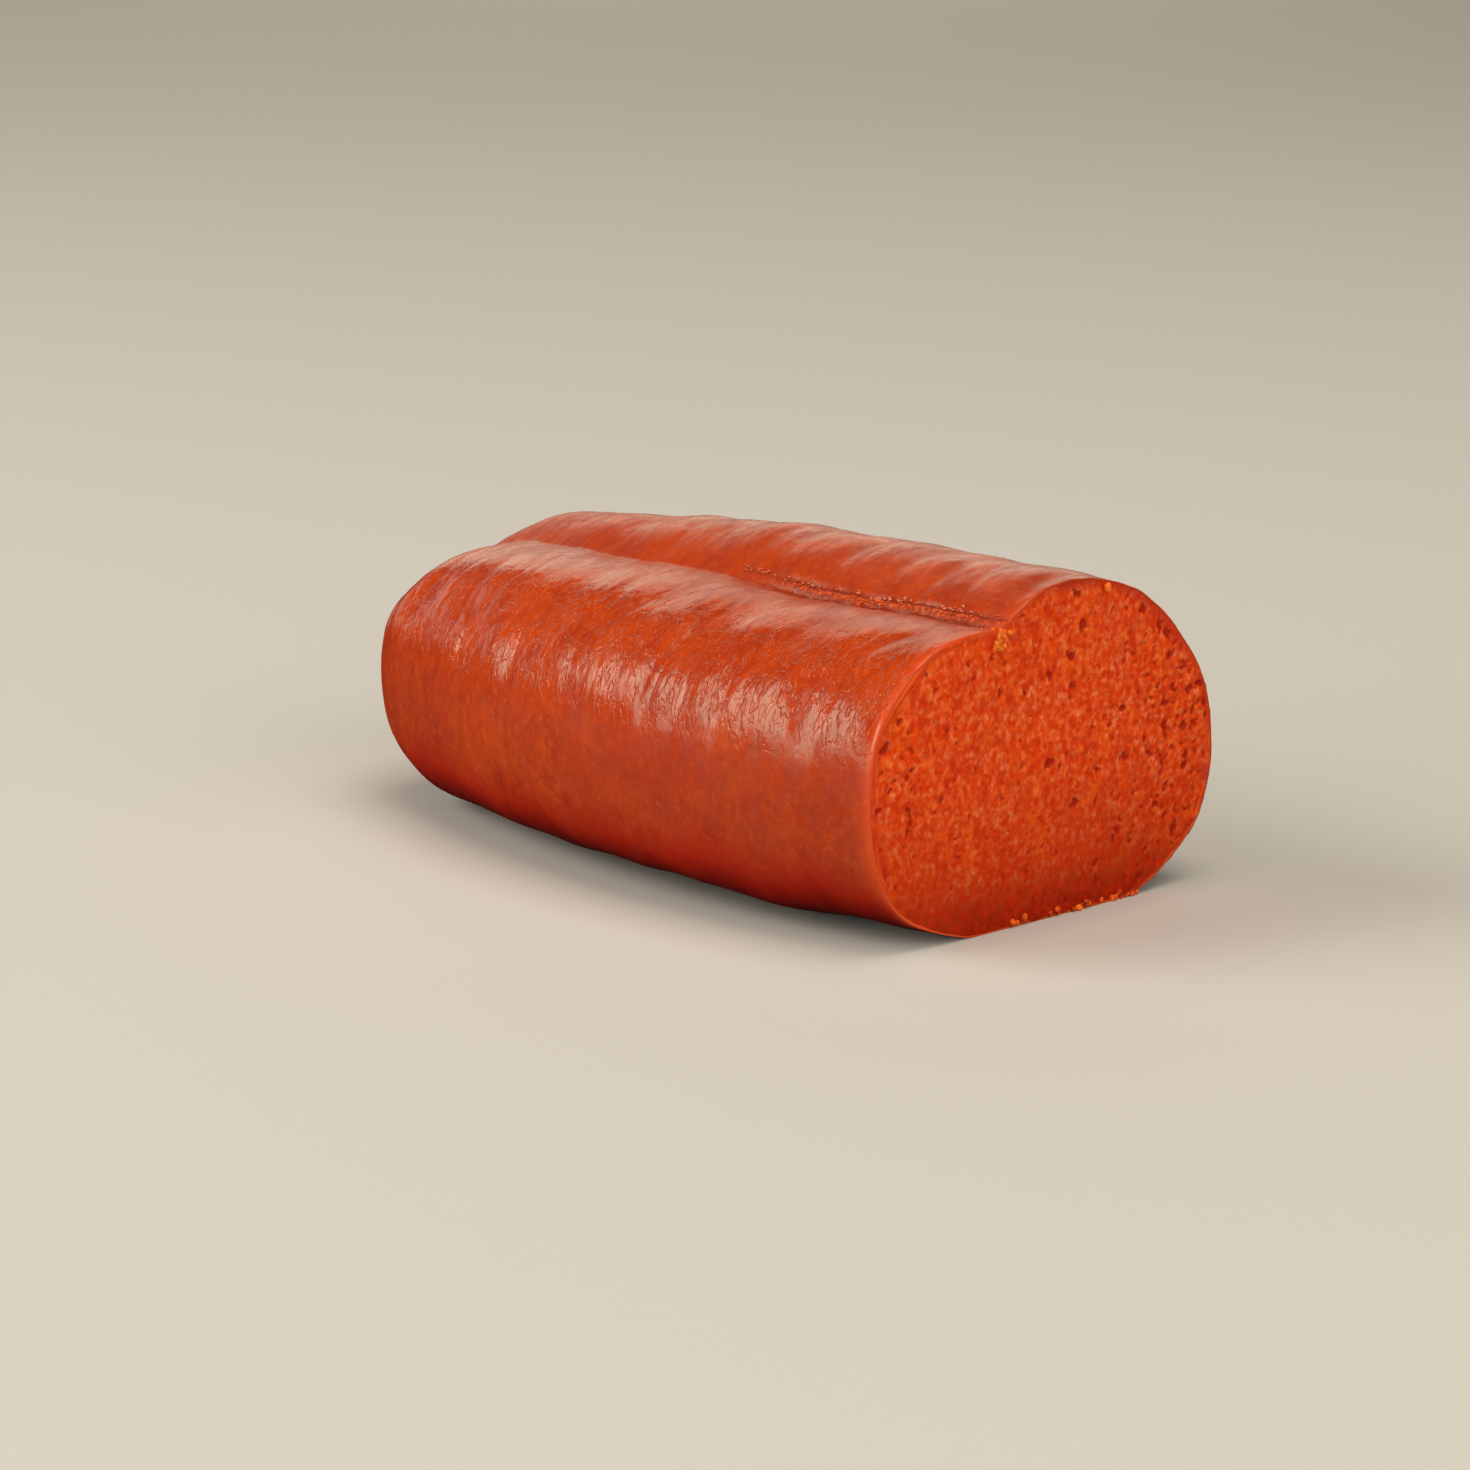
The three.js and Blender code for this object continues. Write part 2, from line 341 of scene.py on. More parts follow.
def casing_rings():
    theta = np.linspace(0, math.pi / 2, DOME_RINGS + 1)[1:]
    dome = DOME_LENGTH * (1 - np.cos(theta) ** (2 / DOME_BLUNTNESS))
    body = np.linspace(DOME_LENGTH, LENGTH, BODY_RINGS + 1)[1:]
    return np.concatenate([dome, body]) / LENGTH


def casing_turns():
    even = np.linspace(-math.pi, math.pi, CASING_COLUMNS, endpoint=False)
    return even - COLUMN_CROWDING * np.sin(even)


def smeared(angle):
    """1 where the knife smeared the casing's rim, on the low lobe, and 0 where the paste crumbles."""
    return 0.5 - 0.5 * np.tanh(SMEARED_BLEND * (np.cos(angle) + SMEARED_FROM))


def eased(points, angle):
    """Rounds off the change of section at the widest line, which the solid's flat faces don't show."""
    soft = points
    for _ in range(EASE_PASSES):
        soft = 0.5 * soft + 0.25 * (np.roll(soft, 1, 1) + np.roll(soft, -1, 1))
    share = np.maximum(bell(np.abs(angle) - math.pi, EASE_REACH), bell(angle, EASE_REACH))
    return mix(points, soft, share[..., None])


def fine_skin(s, turn):
    """The casing's grid with wrinkles, and the values that its material reads."""
    points = eased(skin(s, turn), angle_at(s, turn))
    normals = grid_normals(points)
    angle = angle_at(s, turn)
    out, crinkle, gloss = wrinkles(s, angle, points)
    out = out + relief(*squeezed(points, CREPE_SQUEEZE), CREPE)
    above_floor = smoothstep(points[..., 2], *WRINKLES_RISE)
    points = points + normals * (out * above_floor)[..., None]
    points[..., 2] = np.maximum(points[..., 2], 0)
    shown = smoothstep(s, SEAM_STARTS, SEAM_FULL)
    across = turn - wander(s)
    # Painted shade in the seam's upper fold.
    upper = bell(across - SEAM_UPPER["turn"], UPPER_FOLD_SHADE)
    # The uneven height over which the painted shade at the bottom comes in.
    height = points[..., 2] + relief(*squeezed(points, FOOT_SHADE_SQUEEZE), FOOT_SHADE_EDGE)
    degrees = np.degrees(angle)
    # Where the painted pinkish sheen on the low lobe's side lies.
    sheen_angle, sheen_width = SIDE_SHEEN
    # Where the painted shade in the groove lies.
    groove_shade_turn, groove_shade_width = GROOVE_SHADE
    return points, {
        "crinkle": crinkle,
        "gloss": gloss,
        "band": shown * bell(across - SEAM_BAND["turn"], BAND_TONE),
        # Painted shade in the seam's fold and upper fold.
        "fold": shown * np.maximum(bell(across, FOLD_SHADE), upper),
        # low and foot: painted shade, darker towards the bottom.
        "low": 1 - smoothstep(height, *LOW_SHADE),
        "foot": 1 - smoothstep(height, *FOOT_SHADE),
        "rim": RIM_TONE * np.exp((s - 1) * LENGTH / RIM_FADE) * smeared(angle),
        # Painted shade along the groove.
        "groove": bell(turn - groove_shade_turn, groove_shade_width),
        # Painted sheen: a pinkish haze of reflected light on the low lobe's side.
        "side": bell(degrees - sheen_angle, sheen_width) + bell(degrees + (360 - sheen_angle), sheen_width),
    }


def make_casing():
    rings, turns = casing_rings(), casing_turns()
    s, turn = np.meshgrid(rings, turns, indexing="ij")
    points, marks = fine_skin(s, turn)
    pole = skin(np.zeros(1), np.zeros(1))[0]
    edge = points[-1]
    centre = np.array([0, edge[:, 1].mean(), edge[:, 2].mean()])
    inward = centre - edge
    inward[:, 0] = 0
    inward /= np.linalg.norm(inward, axis=1, keepdims=True)
    smear = smeared(angle_at(np.ones(1), turns))
    width = mix(RIM_WIDTH["bare"], RIM_WIDTH["smeared"], smear)
    lip = mix(RIM_LIP["bare"], RIM_LIP["smeared"], smear)
    rim = []
    for step, forward in RIM_STEPS:
        out = forward * (lip if forward > 0 else 1 + 0 * lip)
        rim.append(edge + inward * (step * width)[:, None] + np.stack([out, 0 * out, 0 * out], 1))
    inner = centre[None] + [RIM_DEPTH, 0, 0]
    all_points = np.concatenate([pole[None], points.reshape(-1, 3), *rim, inner])
    count = len(rings) + len(rim)
    on_rim = mix(BARE_RIM_TONE, 1.0, smear)
    values = {}
    for name, grid in marks.items():
        tail = on_rim if name == "rim" else grid[-1] * 0
        values[name] = np.concatenate([[0.0], grid.ravel(), np.tile(tail, len(rim)), [0.0]])
    return all_points, ring_faces(count, CASING_COLUMNS), values


def ring_faces(rings, columns):
    """Faces of a closed surface: a first point, rings of points, and a last point."""
    j = np.arange(columns)
    following = (j + 1) % columns
    faces = [[0, 1 + b, 1 + a] for a, b in zip(j, following)]
    for i in range(rings - 1):
        low, high = 1 + i * columns, 1 + (i + 1) * columns
        faces += np.stack([low + j, low + following, high + following, high + j], 1).tolist()
    last = 1 + (rings - 1) * columns
    faces += [[last + a, last + b, last + columns] for a, b in zip(j, following)]
    return faces


# The paste at the cut

PASTE_PITCH = 0.32
PASTE_TUCK = 0.05
PASTE_BACK, PASTE_DRAWN_IN = 2.1, 1.5
GRAINS = (
    {"size": 1.65, "height": 0.6, "long": 1.6, "seed": 71},
    {"size": 1.0, "height": 0.36, "long": 1.8, "seed": 72},
)
# A grain's half length and half width in cells, how much its own height varies, how softly grains
# run into each other, and how far the first grains shift the second.
GRAIN_LONG, GRAIN_SHORT, GRAIN_LIFT, GRAIN_SOFTNESS, GRAIN_SHIFT = 0.6, 0.5, 0.9, 4.0, 0.5
# How much of the two grains' height is in the relief.
GRAIN_SHARES = (0.045, 0.01)
# Crumbly and smooth patches of the cut: their size, how far they differ, and the seed.
CRUMBLING = (11, 0.35, 86)
FINE_GRAIN = ((3.6, 0.11, 76), (1.9, 0.05, 73))
# Soft dimples between the crumbs, their depth in millimetres, and where in the noise they begin and end.
DIMPLES = ({"size": 1.6, "seed": 87}, {"size": 1.15, "seed": 89})
DIMPLE_DEPTH = 0.03
DIMPLE_EDGE = (0.12, 0.75)
PITS = (
    {"size": 3.4, "depth": 0.4, "seed": 81, "radius": (0.4, 0.9), "share": (0.1, 0.85)},
    {"size": 6.5, "depth": 0.6, "seed": 83, "radius": (0.7, 1.3), "share": (0.06, 0.95)},
)
PIT_CROOKED = (1.2, 0.6, 84)
# Pits are most frequent at the high lobe's side, over these places across the cut, and next at the other.
PITS_HIGH_SIDE, PITS_LOW_SIDE, PITS_LOW_SHARE = (15, 58), (-60, -42), 0.6
# The last is how fast the painted shade in a pit grows with its depth.
PIT_STRETCH, PIT_WALL, PIT_SHADE = 1.2, 1.5, 1.9
SMEAR = {"streaks": 0.9, "height": 0.3, "rise": 0.35, "seed": 78, "along": 0.05, "from": (1.6, 3.2)}
# How far the smear reaches in from the edge, by the angle round the cut in degrees.
SMEAR_REACH = (
    (-180, 4.6), (-165, 3.2), (-140, 1.8), (-110, 1.4), (-80, 0.6),
    (80, 0.6), (110, 1.4), (140, 2.0), (160, 4.2), (180, 4.6),
)
SMEAR_PATCHES = (2.6, 0.55, 85)
# Where the paste meets the skin smoothly and darker, on the high lobe's outer side.
DRY_EDGE = ((-180, 0), (-25, 0), (0, 1), (60, 1), (85, 0), (180, 0))
DRY_SMOOTH, DRY_REACH = 0.6, (1.2, 4.0)
RAGGED = {"size": 2.4, "reach": 0.55, "seed": 79}
# Painted shade: heights up to which the cut is darker, for half of that tone each.
LOW_FACE_SHADE = (20, 50)
# Towards the cut's edge the paste rounds off by this much over this distance, and its relief is
# lower: the share left at the edge, and the shares left in the rim's band where bare and where smeared.
ROUNDED, ROUNDED_BACK, ROUNDED_RELIEF = 1.1, 0.1, 0.6
BAND_RELIEF = {"bare": 0.7, "smeared": 0.15}
# Where the relief of the band begins and ends: a share of the smear's reach, and the reach plus this.
BAND_INNER, BAND_OUTER = 0.2, 0.4
# Pits start this far in, and reach full depth at the second value plus a share of the smear's reach.
PITS_FROM, PITS_FULL, PITS_FULL_SHARE = 0.5, 1.5, 0.5
# The outer ring of the cut is rougher by this share, which fades over these distances.
ROUGH_RING, ROUGH_RING_FADE = 0.15, (4, 14)
EDGE_TONE = 5


def neighbours(y, z, size, seed, reach):
    """For each point, how far off nearby cells' centres are, and four numbers of each cell's own."""
    cy, cz = np.floor(y / size), np.floor(z / size)
    for dj in range(-reach, reach + 1):
        for dk in range(-reach, reach + 1):
            j, k = cy + dj, cz + dk
            own = [lattice(j, k, np.full(j.shape, n), seed) for n in range(6)]
            yield y - (j + own[0]) * size, z - (k + own[1]) * size, own[2:]


def grains(y, z, size, height, long, seed):
    """Heights of overlapping oblong grains, and a tone from 0 to 1 of each grain's own."""
    top = np.full(y.shape, -1e9)
    total = np.zeros(y.shape)
    tone = np.zeros(y.shape)
    for dy, dz, (turn, stretch, lift, own_tone) in neighbours(y, z, size, seed, 2):
        angle = turn * math.pi
        u = dy * np.cos(angle) + dz * np.sin(angle)
        v = dz * np.cos(angle) - dy * np.sin(angle)
        half_long = size * GRAIN_LONG * (1 + (long - 1) * stretch)
        half_short = size * GRAIN_SHORT
        h = height * (GRAIN_LIFT * lift + 1 - (u / half_long) ** 2 - (v / half_short) ** 2)
        tone = np.where(h > top, own_tone, tone)
        top = np.maximum(h, top)
        total += np.exp(GRAIN_SOFTNESS * h)
    return np.log(total) / GRAIN_SOFTNESS, tone


def crooked(y, z, grain, shift, seed):
    """The same places, each moved a little by noise of its own direction."""
    return y + shift * noise(0 * y, y, z, grain, seed), z + shift * noise(0 * y, y, z, grain, seed + 1)


def pits(y, z, size, depth, seed, radius, share):
    """Millimetres of depth of scattered pits, which are more frequent towards the high lobe's side."""
    total = np.zeros(y.shape)
    grain, shift, warp_seed = PIT_CROOKED
    y, z = crooked(y, z, grain, shift, warp_seed)
    low_side = PITS_LOW_SHARE * (1 - smoothstep(y, *PITS_LOW_SIDE))
    there = mix(*share, np.maximum(smoothstep(y, *PITS_HIGH_SIDE), low_side))
    for dy, dz, (turn, stretch, lot, wide) in neighbours(y, z, size, seed, 1):
        own_radius = mix(*radius, wide)
        angle = turn * math.pi
        u = (dy * np.cos(angle) + dz * np.sin(angle)) / (1 + PIT_STRETCH * stretch)
        v = dz * np.cos(angle) - dy * np.sin(angle)
        hole = np.exp(-((u * u + v * v) / own_radius**2) ** PIT_WALL)
        total = np.maximum(total, (lot < there) * depth * hole)
    return total


def dimples(y, z, size, seed):
    """1 in the soft dimples that cover the cut, and 0 between them."""
    grain, shift, warp_seed = PIT_CROOKED
    y, z = crooked(y, z, grain, shift, warp_seed + 2)
    return smoothstep(noise(0 * y, y, z, size, seed), *DIMPLE_EDGE)


def outline_radius(edge, centre):
    """The cut's outline as a function of the angle round its centre."""
    dy, dz = edge[:, 1] - centre[0], edge[:, 2] - centre[1]
    angle = np.arctan2(dz, dy)
    order = np.argsort(angle)
    radius = np.hypot(dy, dz)[order]
    angle = angle[order]
    angle = np.concatenate([angle[-1:] - 2 * math.pi, angle, angle[:1] + 2 * math.pi])
    radius = np.concatenate([radius[-1:], radius, radius[:1]])
    return lambda a: np.interp(a, angle, radius)


def make_paste(edge):
    centre = np.array([edge[:, 1].mean(), edge[:, 2].mean()])
    radius_at = outline_radius(edge, centre)
    low, high = edge[:, 1:].min(0) - 1, edge[:, 1:].max(0) + 1
    steps = (np.arange(a, b, PASTE_PITCH) for a, b in zip(low, high))
    y, z = np.meshgrid(*steps, indexing="ij")
    around = np.arctan2(z - centre[1], y - centre[0])
    degrees = np.degrees(around)
    smooth = smeared(around)
    ragged = np.interp(degrees, *zip(*RAGGED_ZONES)) * noise(0 * y, y, z, RAGGED["size"], RAGGED["seed"])
    ragged = ragged * RAGGED["reach"] * (1 - smooth)
    limit = radius_at(around) - PASTE_TUCK + ragged
    distance = np.hypot(y - centre[0], z - centre[1])
    inside = distance <= limit
    padded = np.pad(inside, 1)
    used = np.zeros(inside.shape, bool)
    for di in (0, 1, 2):
        for dj in (0, 1, 2):
            used |= padded[di:di + inside.shape[0], dj:dj + inside.shape[1]]
    scale = np.where(used & ~inside, limit / np.maximum(distance, 1e-9), 1)
    y = centre[0] + (y - centre[0]) * scale
    z = centre[1] + (z - centre[1]) * scale
    to_edge = limit - np.hypot(y - centre[0], z - centre[1])

    coarse, tone = grains(y, z, **GRAINS[0])
    small, small_tone = grains(y + GRAIN_SHIFT * coarse, z, **GRAINS[1])
    patch_size, patchy, patch_seed = SMEAR_PATCHES
    patches = 1 + patchy * noise(0 * y, y, z, patch_size, patch_seed)
    reach = np.interp(degrees, *zip(*SMEAR_REACH)) * patches
    pit = np.maximum(pits(y, z, **PITS[0]), pits(y, z, **PITS[1]))
    pit = pit * smoothstep(to_edge, PITS_FROM, PITS_FULL + PITS_FULL_SHARE * reach)
    crumbly = smoothstep(to_edge, BAND_INNER * reach, reach + BAND_OUTER)
    dry = np.interp(degrees, *zip(*DRY_EDGE)) * (1 - smoothstep(to_edge, *DRY_REACH))
    dimple = np.maximum(*(dimples(y, z, **own) for own in DIMPLES))
    grainy = GRAIN_SHARES[0] * coarse + GRAIN_SHARES[1] * small
    grainy = grainy + relief(0 * y, y, z, FINE_GRAIN) - DIMPLE_DEPTH * dimple
    grainy = grainy - grainy.mean()
    crumb_size, crumbles, crumb_seed = CRUMBLING
    uneven = 1 + crumbles * noise(0 * y, y, z, crumb_size, crumb_seed)
    uneven = uneven + ROUGH_RING * (1 - smoothstep(to_edge, *ROUGH_RING_FADE))
    in_band = mix(BAND_RELIEF["bare"], BAND_RELIEF["smeared"], smooth)
    height = grainy * mix(in_band, 1.0, crumbly) * (1 - DRY_SMOOTH * dry) * uneven
    along = SMEAR["along"]
    streak = noise(to_edge, along * y, along * z, SMEAR["streaks"], SMEAR["seed"])
    streak = streak * smoothstep(reach, *SMEAR["from"])
    rounded = smoothstep(to_edge, 0, ROUNDED)
    x = math.tan(CUT_SLANT) * y + relief(0 * y, y, z, (FACE_SWELL,)) * rounded
    x = x + height * mix(ROUNDED_RELIEF, 1.0, rounded) - pit - ROUNDED_BACK * (1 - rounded)
    x = x + smooth * (1 - crumbly) * rounded * (SMEAR["rise"] + SMEAR["height"] * streak)
    z = np.maximum(z, 0)
    return used, np.stack([x, y, z], -1), {
        "tone": 0.5 * tone + 0.5 * small_tone,
        # Painted shade in the dimples.
        "depth": dimple * crumbly,
        # Painted shade in the pits, darker the deeper they are.
        "pit": clamp01(pit * PIT_SHADE),
        "smear": smooth * (1 - crumbly),
        "streak": 0.5 + streak,
        # Painted shade towards the bottom of the cut.
        "low": 1 - 0.5 * smoothstep(z, 0, LOW_FACE_SHADE[0]) - 0.5 * smoothstep(z, 0, LOW_FACE_SHADE[1]),
        "edge": 1 - smoothstep(to_edge, 0, EDGE_TONE),
        "dry": dry,
    }


def closed_sheet(used, points, values, back):
    """A closed piece: a sheet of grid points, a skirt round it and a back that far behind the cut."""
    number = np.full(used.shape, -1)
    number[used] = np.arange(used.sum())
    a, b, c, d = number[:-1, :-1], number[1:, :-1], number[1:, 1:], number[:-1, 1:]
    whole = (a >= 0) & (b >= 0) & (c >= 0) & (d >= 0)
    quads = np.stack([a[whole], b[whole], c[whole], d[whole]], 1)
    kept = np.unique(quads)
    renumber = np.full(used.sum(), -1)
    renumber[kept] = np.arange(len(kept))
    quads = renumber[quads]
    front = points[used][kept]
    starts, ends = quads.ravel(), np.roll(quads, -1, 1).ravel()
    total = len(front)
    keys = set((starts * total + ends).tolist())
    rim = [(p, q) for p, q in zip(starts.tolist(), ends.tolist()) if q * total + p not in keys]
    behind = {p: total + i for i, p in enumerate(sorted({p for edge in rim for p in edge}))}
    skirt = front[sorted(behind)].copy()
    middle_of_sheet = front[:, 1:].mean(0)
    inward = middle_of_sheet - skirt[:, 1:]
    skirt[:, 1:] += PASTE_DRAWN_IN * inward / np.linalg.norm(inward, axis=1, keepdims=True)
    skirt[:, 0] = math.tan(CUT_SLANT) * skirt[:, 1] - back
    middle = total + len(skirt)
    faces = quads.tolist()
    faces += [[q, p, behind[p], behind[q]] for p, q in rim]
    faces += [[behind[q], behind[p], middle] for p, q in rim]
    centre = np.array([[-back, front[:, 1].mean(), front[:, 2].mean()]])
    marks = {}
    for name, grid in values.items():
        own = grid[used][kept]
        marks[name] = np.concatenate([own, own[sorted(behind)], [0.0]])
    return np.concatenate([front, skirt, centre]), faces, marks


# Small bits: residue along the seam, and crumbs and fat at the cut's edge

def ball(rounds):
    """Points and faces of a round ball of radius 1."""
    shape = bmesh.new()
    bmesh.ops.create_icosphere(shape, subdivisions=rounds, radius=1)
    points = np.array([v.co for v in shape.verts])
    faces = [[v.index for v in f.verts] for f in shape.faces]
    shape.free()
    return points, faces


BIT_LUMPS, BIT_LUMP_SIZE, BIT_SEED_STEP, BIT_TILT = 0.3, 0.8, 10, 1.7
# The seed of all places, and each kind's rounds of subdivision and seed of its lumps.
BITS_SEED, SEAM_BALL, EDGE_BALL = 11, (2, 91), (3, 92)


def bits(places, rounds, seed):
    """One mesh of lumpy bits, each given as its centre, three half sizes, a turn and a tone."""
    points, faces = ball(rounds)
    all_points, all_faces, tones = [], [], []
    for n, (centre, half, turn, tone) in enumerate(places):
        lumpy = 1 + BIT_LUMPS * noise(*(points.T + BIT_SEED_STEP * n), BIT_LUMP_SIZE, seed)
        p = points * lumpy[:, None] * half
        rotation = np.array(Matrix.Rotation(turn, 3, "Z") @ Matrix.Rotation(turn * BIT_TILT, 3, "X"))
        all_faces += [[v + n * len(points) for v in f] for f in faces]
        placed = p @ rotation.T + centre
        placed[:, 2] = np.maximum(placed[:, 2], 0)
        all_points.append(placed)
        tones += [tone] * len(points)
    return np.concatenate(all_points), all_faces, {"tone": np.array(tones, float)}


# The beads are pale ones on the seam's upper fold, one in three, and orange crumbs on its band.
# They lie in clumps along the seam and get larger from where they start.
SEAM_BITS = {"count": 360, "reach": (0.57, 0.99), "size": (0.16, 0.46), "pale_every": 3}
PALE_BEADS = {"turn": SEAM_UPPER["turn"] - 0.012, "spread": 0.009, "full": 0.66, "tone": (0.85, 1)}
CRUMBS = {"turn": SEAM_BAND["turn"], "spread": 0.014, "full": 0.8, "tone": (0, 0.3)}
BITS_FROM, BITS_FLAT = 0.53, 0.55
CLUMPS = {"waves": (40, 17), "shift": 1, "least": 0.5, "more": 0.7}


def seam_places(rng):
    """Pale beads along the seam's upper fold, and orange crumbs on its band."""
    places = []
    for n in range(SEAM_BITS["count"]):
        kind = PALE_BEADS if n % SEAM_BITS["pale_every"] == 0 else CRUMBS
        s = rng.uniform(*SEAM_BITS["reach"])
        first, second = CLUMPS["waves"]
        clump = 0.5 + 0.5 * math.sin(first * s) * math.sin(second * s + CLUMPS["shift"])
        turn = kind["turn"]
        turn += rng.normal(0, kind["spread"])
        base = skin(np.array([s]), np.array([turn]) + wander(np.array([s])))[0]
        size = rng.uniform(*SEAM_BITS["size"]) * (CLUMPS["least"] + CLUMPS["more"] * clump)
        size = size * smoothstep(s, BITS_FROM, kind["full"])
        half = np.array([size * rng.uniform(1, 1.9), size, size * BITS_FLAT])
        places.append((base, half, rng.uniform(-0.4, 0.4), rng.uniform(*kind["tone"])))
    return places


# Bits of fat and paste: in the notch of the cut, at the top of the high lobe and along the bottom.
NOTCH_BITS = {"below": (0.0, 4.5), "beside": 2.2, "count": 34, "size": (0.5, 1.1), "tone": (0.25, 0.6)}
GROOVE_BITS = {"reach": (0.982, 0.999), "turn": 0.03, "count": 10, "size": (0.35, 0.8), "tone": (0.1, 0.5)}
TOP_BIT = {
    "turn": math.radians(-40.5), "shift": (0.2, 0, -1.9), "half": (0.8, 1.0, 1.15), "size": 1.3,
    "turned": 0.3, "tone": 0.42,
}
BOTTOM_BITS = {
    "y": (-14, 38), "count": 55, "size": (0.2, 1.0), "ahead": 0.6, "above": (0.6, 2.8), "tone": (0.0, 0.45),
}
EDGE_HALF, BOTTOM_HALF, ANY_TURN = (0.6, 1.1), (0.7, 1.3), (0, 3)


def edge_places(rng, edge):
    """Bits that stick to the edge of the cut."""
    places = []
    turns = casing_turns()
    notch = edge[np.argmin(np.abs(turns))]
    for _ in range(NOTCH_BITS["count"]):
        below = rng.uniform(*NOTCH_BITS["below"])
        half = rng.uniform(*NOTCH_BITS["size"]) * rng.uniform(*EDGE_HALF, 3)
        shift = [-0.05, rng.normal(0, 0.5) * NOTCH_BITS["beside"], -below - 0.5 * half[2]]
        places.append((notch + shift, half, rng.uniform(*ANY_TURN), rng.uniform(*NOTCH_BITS["tone"])))
    for _ in range(GROOVE_BITS["count"]):
        s = np.array([rng.uniform(*GROOVE_BITS["reach"])])
        base = skin(s, rng.normal(0, GROOVE_BITS["turn"]) + wander(s))[0]
        half = rng.uniform(*GROOVE_BITS["size"]) * rng.uniform(*EDGE_HALF, 3)
        places.append((base, half, rng.uniform(*ANY_TURN), rng.uniform(*GROOVE_BITS["tone"])))
    top = edge[np.argmin(np.abs(turns - TOP_BIT["turn"]))]
    half = np.array(TOP_BIT["half"]) * TOP_BIT["size"]
    places.append((top + TOP_BIT["shift"], half, TOP_BIT["turned"], TOP_BIT["tone"]))
    for _ in range(BOTTOM_BITS["count"]):
        y = rng.uniform(*BOTTOM_BITS["y"])
        size = mix(*BOTTOM_BITS["size"], rng.uniform(0, 1) ** 2)
        x = math.tan(CUT_SLANT) * y + rng.uniform(-BOTTOM_BITS["ahead"], BOTTOM_BITS["ahead"])
        centre = np.array([x, y, size * rng.uniform(*BOTTOM_BITS["above"])])
        half = size * rng.uniform(*BOTTOM_HALF, 3)
        places.append((centre, half, rng.uniform(*ANY_TURN), rng.uniform(*BOTTOM_BITS["tone"])))
    return places


# Piece building and materials

def shifted(points):
    """From the shape's own millimetres, with the cut at x = 0, to the frame's metres."""
    low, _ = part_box(NODE)
    return points * MM + np.array([low.x + LENGTH * MM, SIDE_SHIFT * MM, 0])


def make_piece(name, points, faces, values, material, slot):
    mesh = bpy.data.meshes.new(name)
    mesh.from_pydata(shifted(points).tolist(), [], faces)
    for key, own in values.items():
        mesh.attributes.new(key, "FLOAT", "POINT").data.foreach_set("value", own.astype(np.float32))
    mesh.shade_smooth()
    mesh.materials.append(material)
    piece = bpy.data.objects.new(name, mesh)
    bpy.context.scene.collection.objects.link(piece)
    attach(piece, "root")
    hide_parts(NODE)


class Nodes:
    """Short ways to make and join the nodes of one material."""

    def __init__(self, name):
        self.material = bpy.data.materials.new(name)
        self.material.use_nodes = True
        self.tree = self.material.node_tree
        self.shader = self.tree.nodes["Principled BSDF"]

    def link(self, value, socket):
        if isinstance(value, bpy.types.NodeSocket):
            self.tree.links.new(value, socket)
        else:
            socket.default_value = value

    def node(self, kind, inputs, output=0, **settings):
        made = self.tree.nodes.new(kind)
        for key, value in settings.items():
            setattr(made, key, value)
        for key, value in inputs.items():
            self.link(value, made.inputs[key])
        return made.outputs[output]

    def value(self, name):
        return self.node("ShaderNodeAttribute", {}, "Fac", attribute_name=name)

    def place(self, scale=(1, 1, 1)):
        here = self.node("ShaderNodeTexCoord", {}, "Object")
        return self.node("ShaderNodeMapping", {"Vector": here, "Scale": scale})

    def noise(self, place, size, detail, roughness, distortion=0.0):
        inputs = {"Vector": place, "Scale": 1 / size, "Detail": detail}
        inputs.update({"Roughness": roughness, "Distortion": distortion})
        return self.node("ShaderNodeTexNoise", inputs, "Fac")

    def math(self, operation, a, b=0.5):
        made = self.tree.nodes.new("ShaderNodeMath")
        made.operation = operation
        self.link(a, made.inputs[0])
        self.link(b, made.inputs[1])
        return made.outputs[0]

    def remap(self, value, low, high, to_low=0.0, to_high=1.0):
        inputs = {"Value": value, "From Min": low, "From Max": high, "To Min": to_low, "To Max": to_high}
        return self.node("ShaderNodeMapRange", inputs, interpolation_type="SMOOTHSTEP")

    def blend(self, share, a, b):
        made = self.tree.nodes.new("ShaderNodeMix")
        made.data_type = "RGBA"
        self.link(share, made.inputs["Factor"])
        self.link(a, made.inputs[6])
        self.link(b, made.inputs[7])
        return made.outputs[2]

    def tinted(self, tint, value, strength, shade):
        """The tint with a screen colour over it, as strong as the value times the strength."""
        return self.blend(self.math("MULTIPLY", value, strength), tint, colour(*shade))

    def pattern(self, place, noise, ends):
        """0 to 1 where noise goes from the first end to the second."""
        return self.remap(self.noise(place, *noise), *ends)

    def from_middle(self, value, width):
        """0 where noise is at its middle, and 1 from the width away."""
        off = self.math("ABSOLUTE", self.math("SUBTRACT", value, 0.5))
        return self.remap(off, 0.0, width)

    def set_shader(self, values):
        for name, value in values.items():
            self.shader.inputs[name].default_value = value

    def ramp(self, share, stops):
        made = self.tree.nodes.new("ShaderNodeValToRGB")
        elements = made.color_ramp.elements
        while len(elements) < len(stops):
            elements.new(0.5)
        for element, (position, shade) in zip(elements, stops):
            element.position = position
            element.color = colour(*shade)
        self.link(share, made.inputs[0])
        return made.outputs[0]

    def bump(self, height, distance, strength=1.0, normal=None):
        inputs = {"Height": height, "Distance": distance, "Strength": strength}
        if normal:
            inputs["Normal"] = normal
        return self.node("ShaderNodeBump", inputs)


def colour(red, green, blue):
    """A linear colour from the 0 to 255 values that a screen shows."""
    values = [v / 255 for v in (red, green, blue)]
    linear = [v / 12.92 if v <= 0.04045 else ((v + 0.055) / 1.055) ** 2.4 for v in values]
    return (*linear, 1.0)


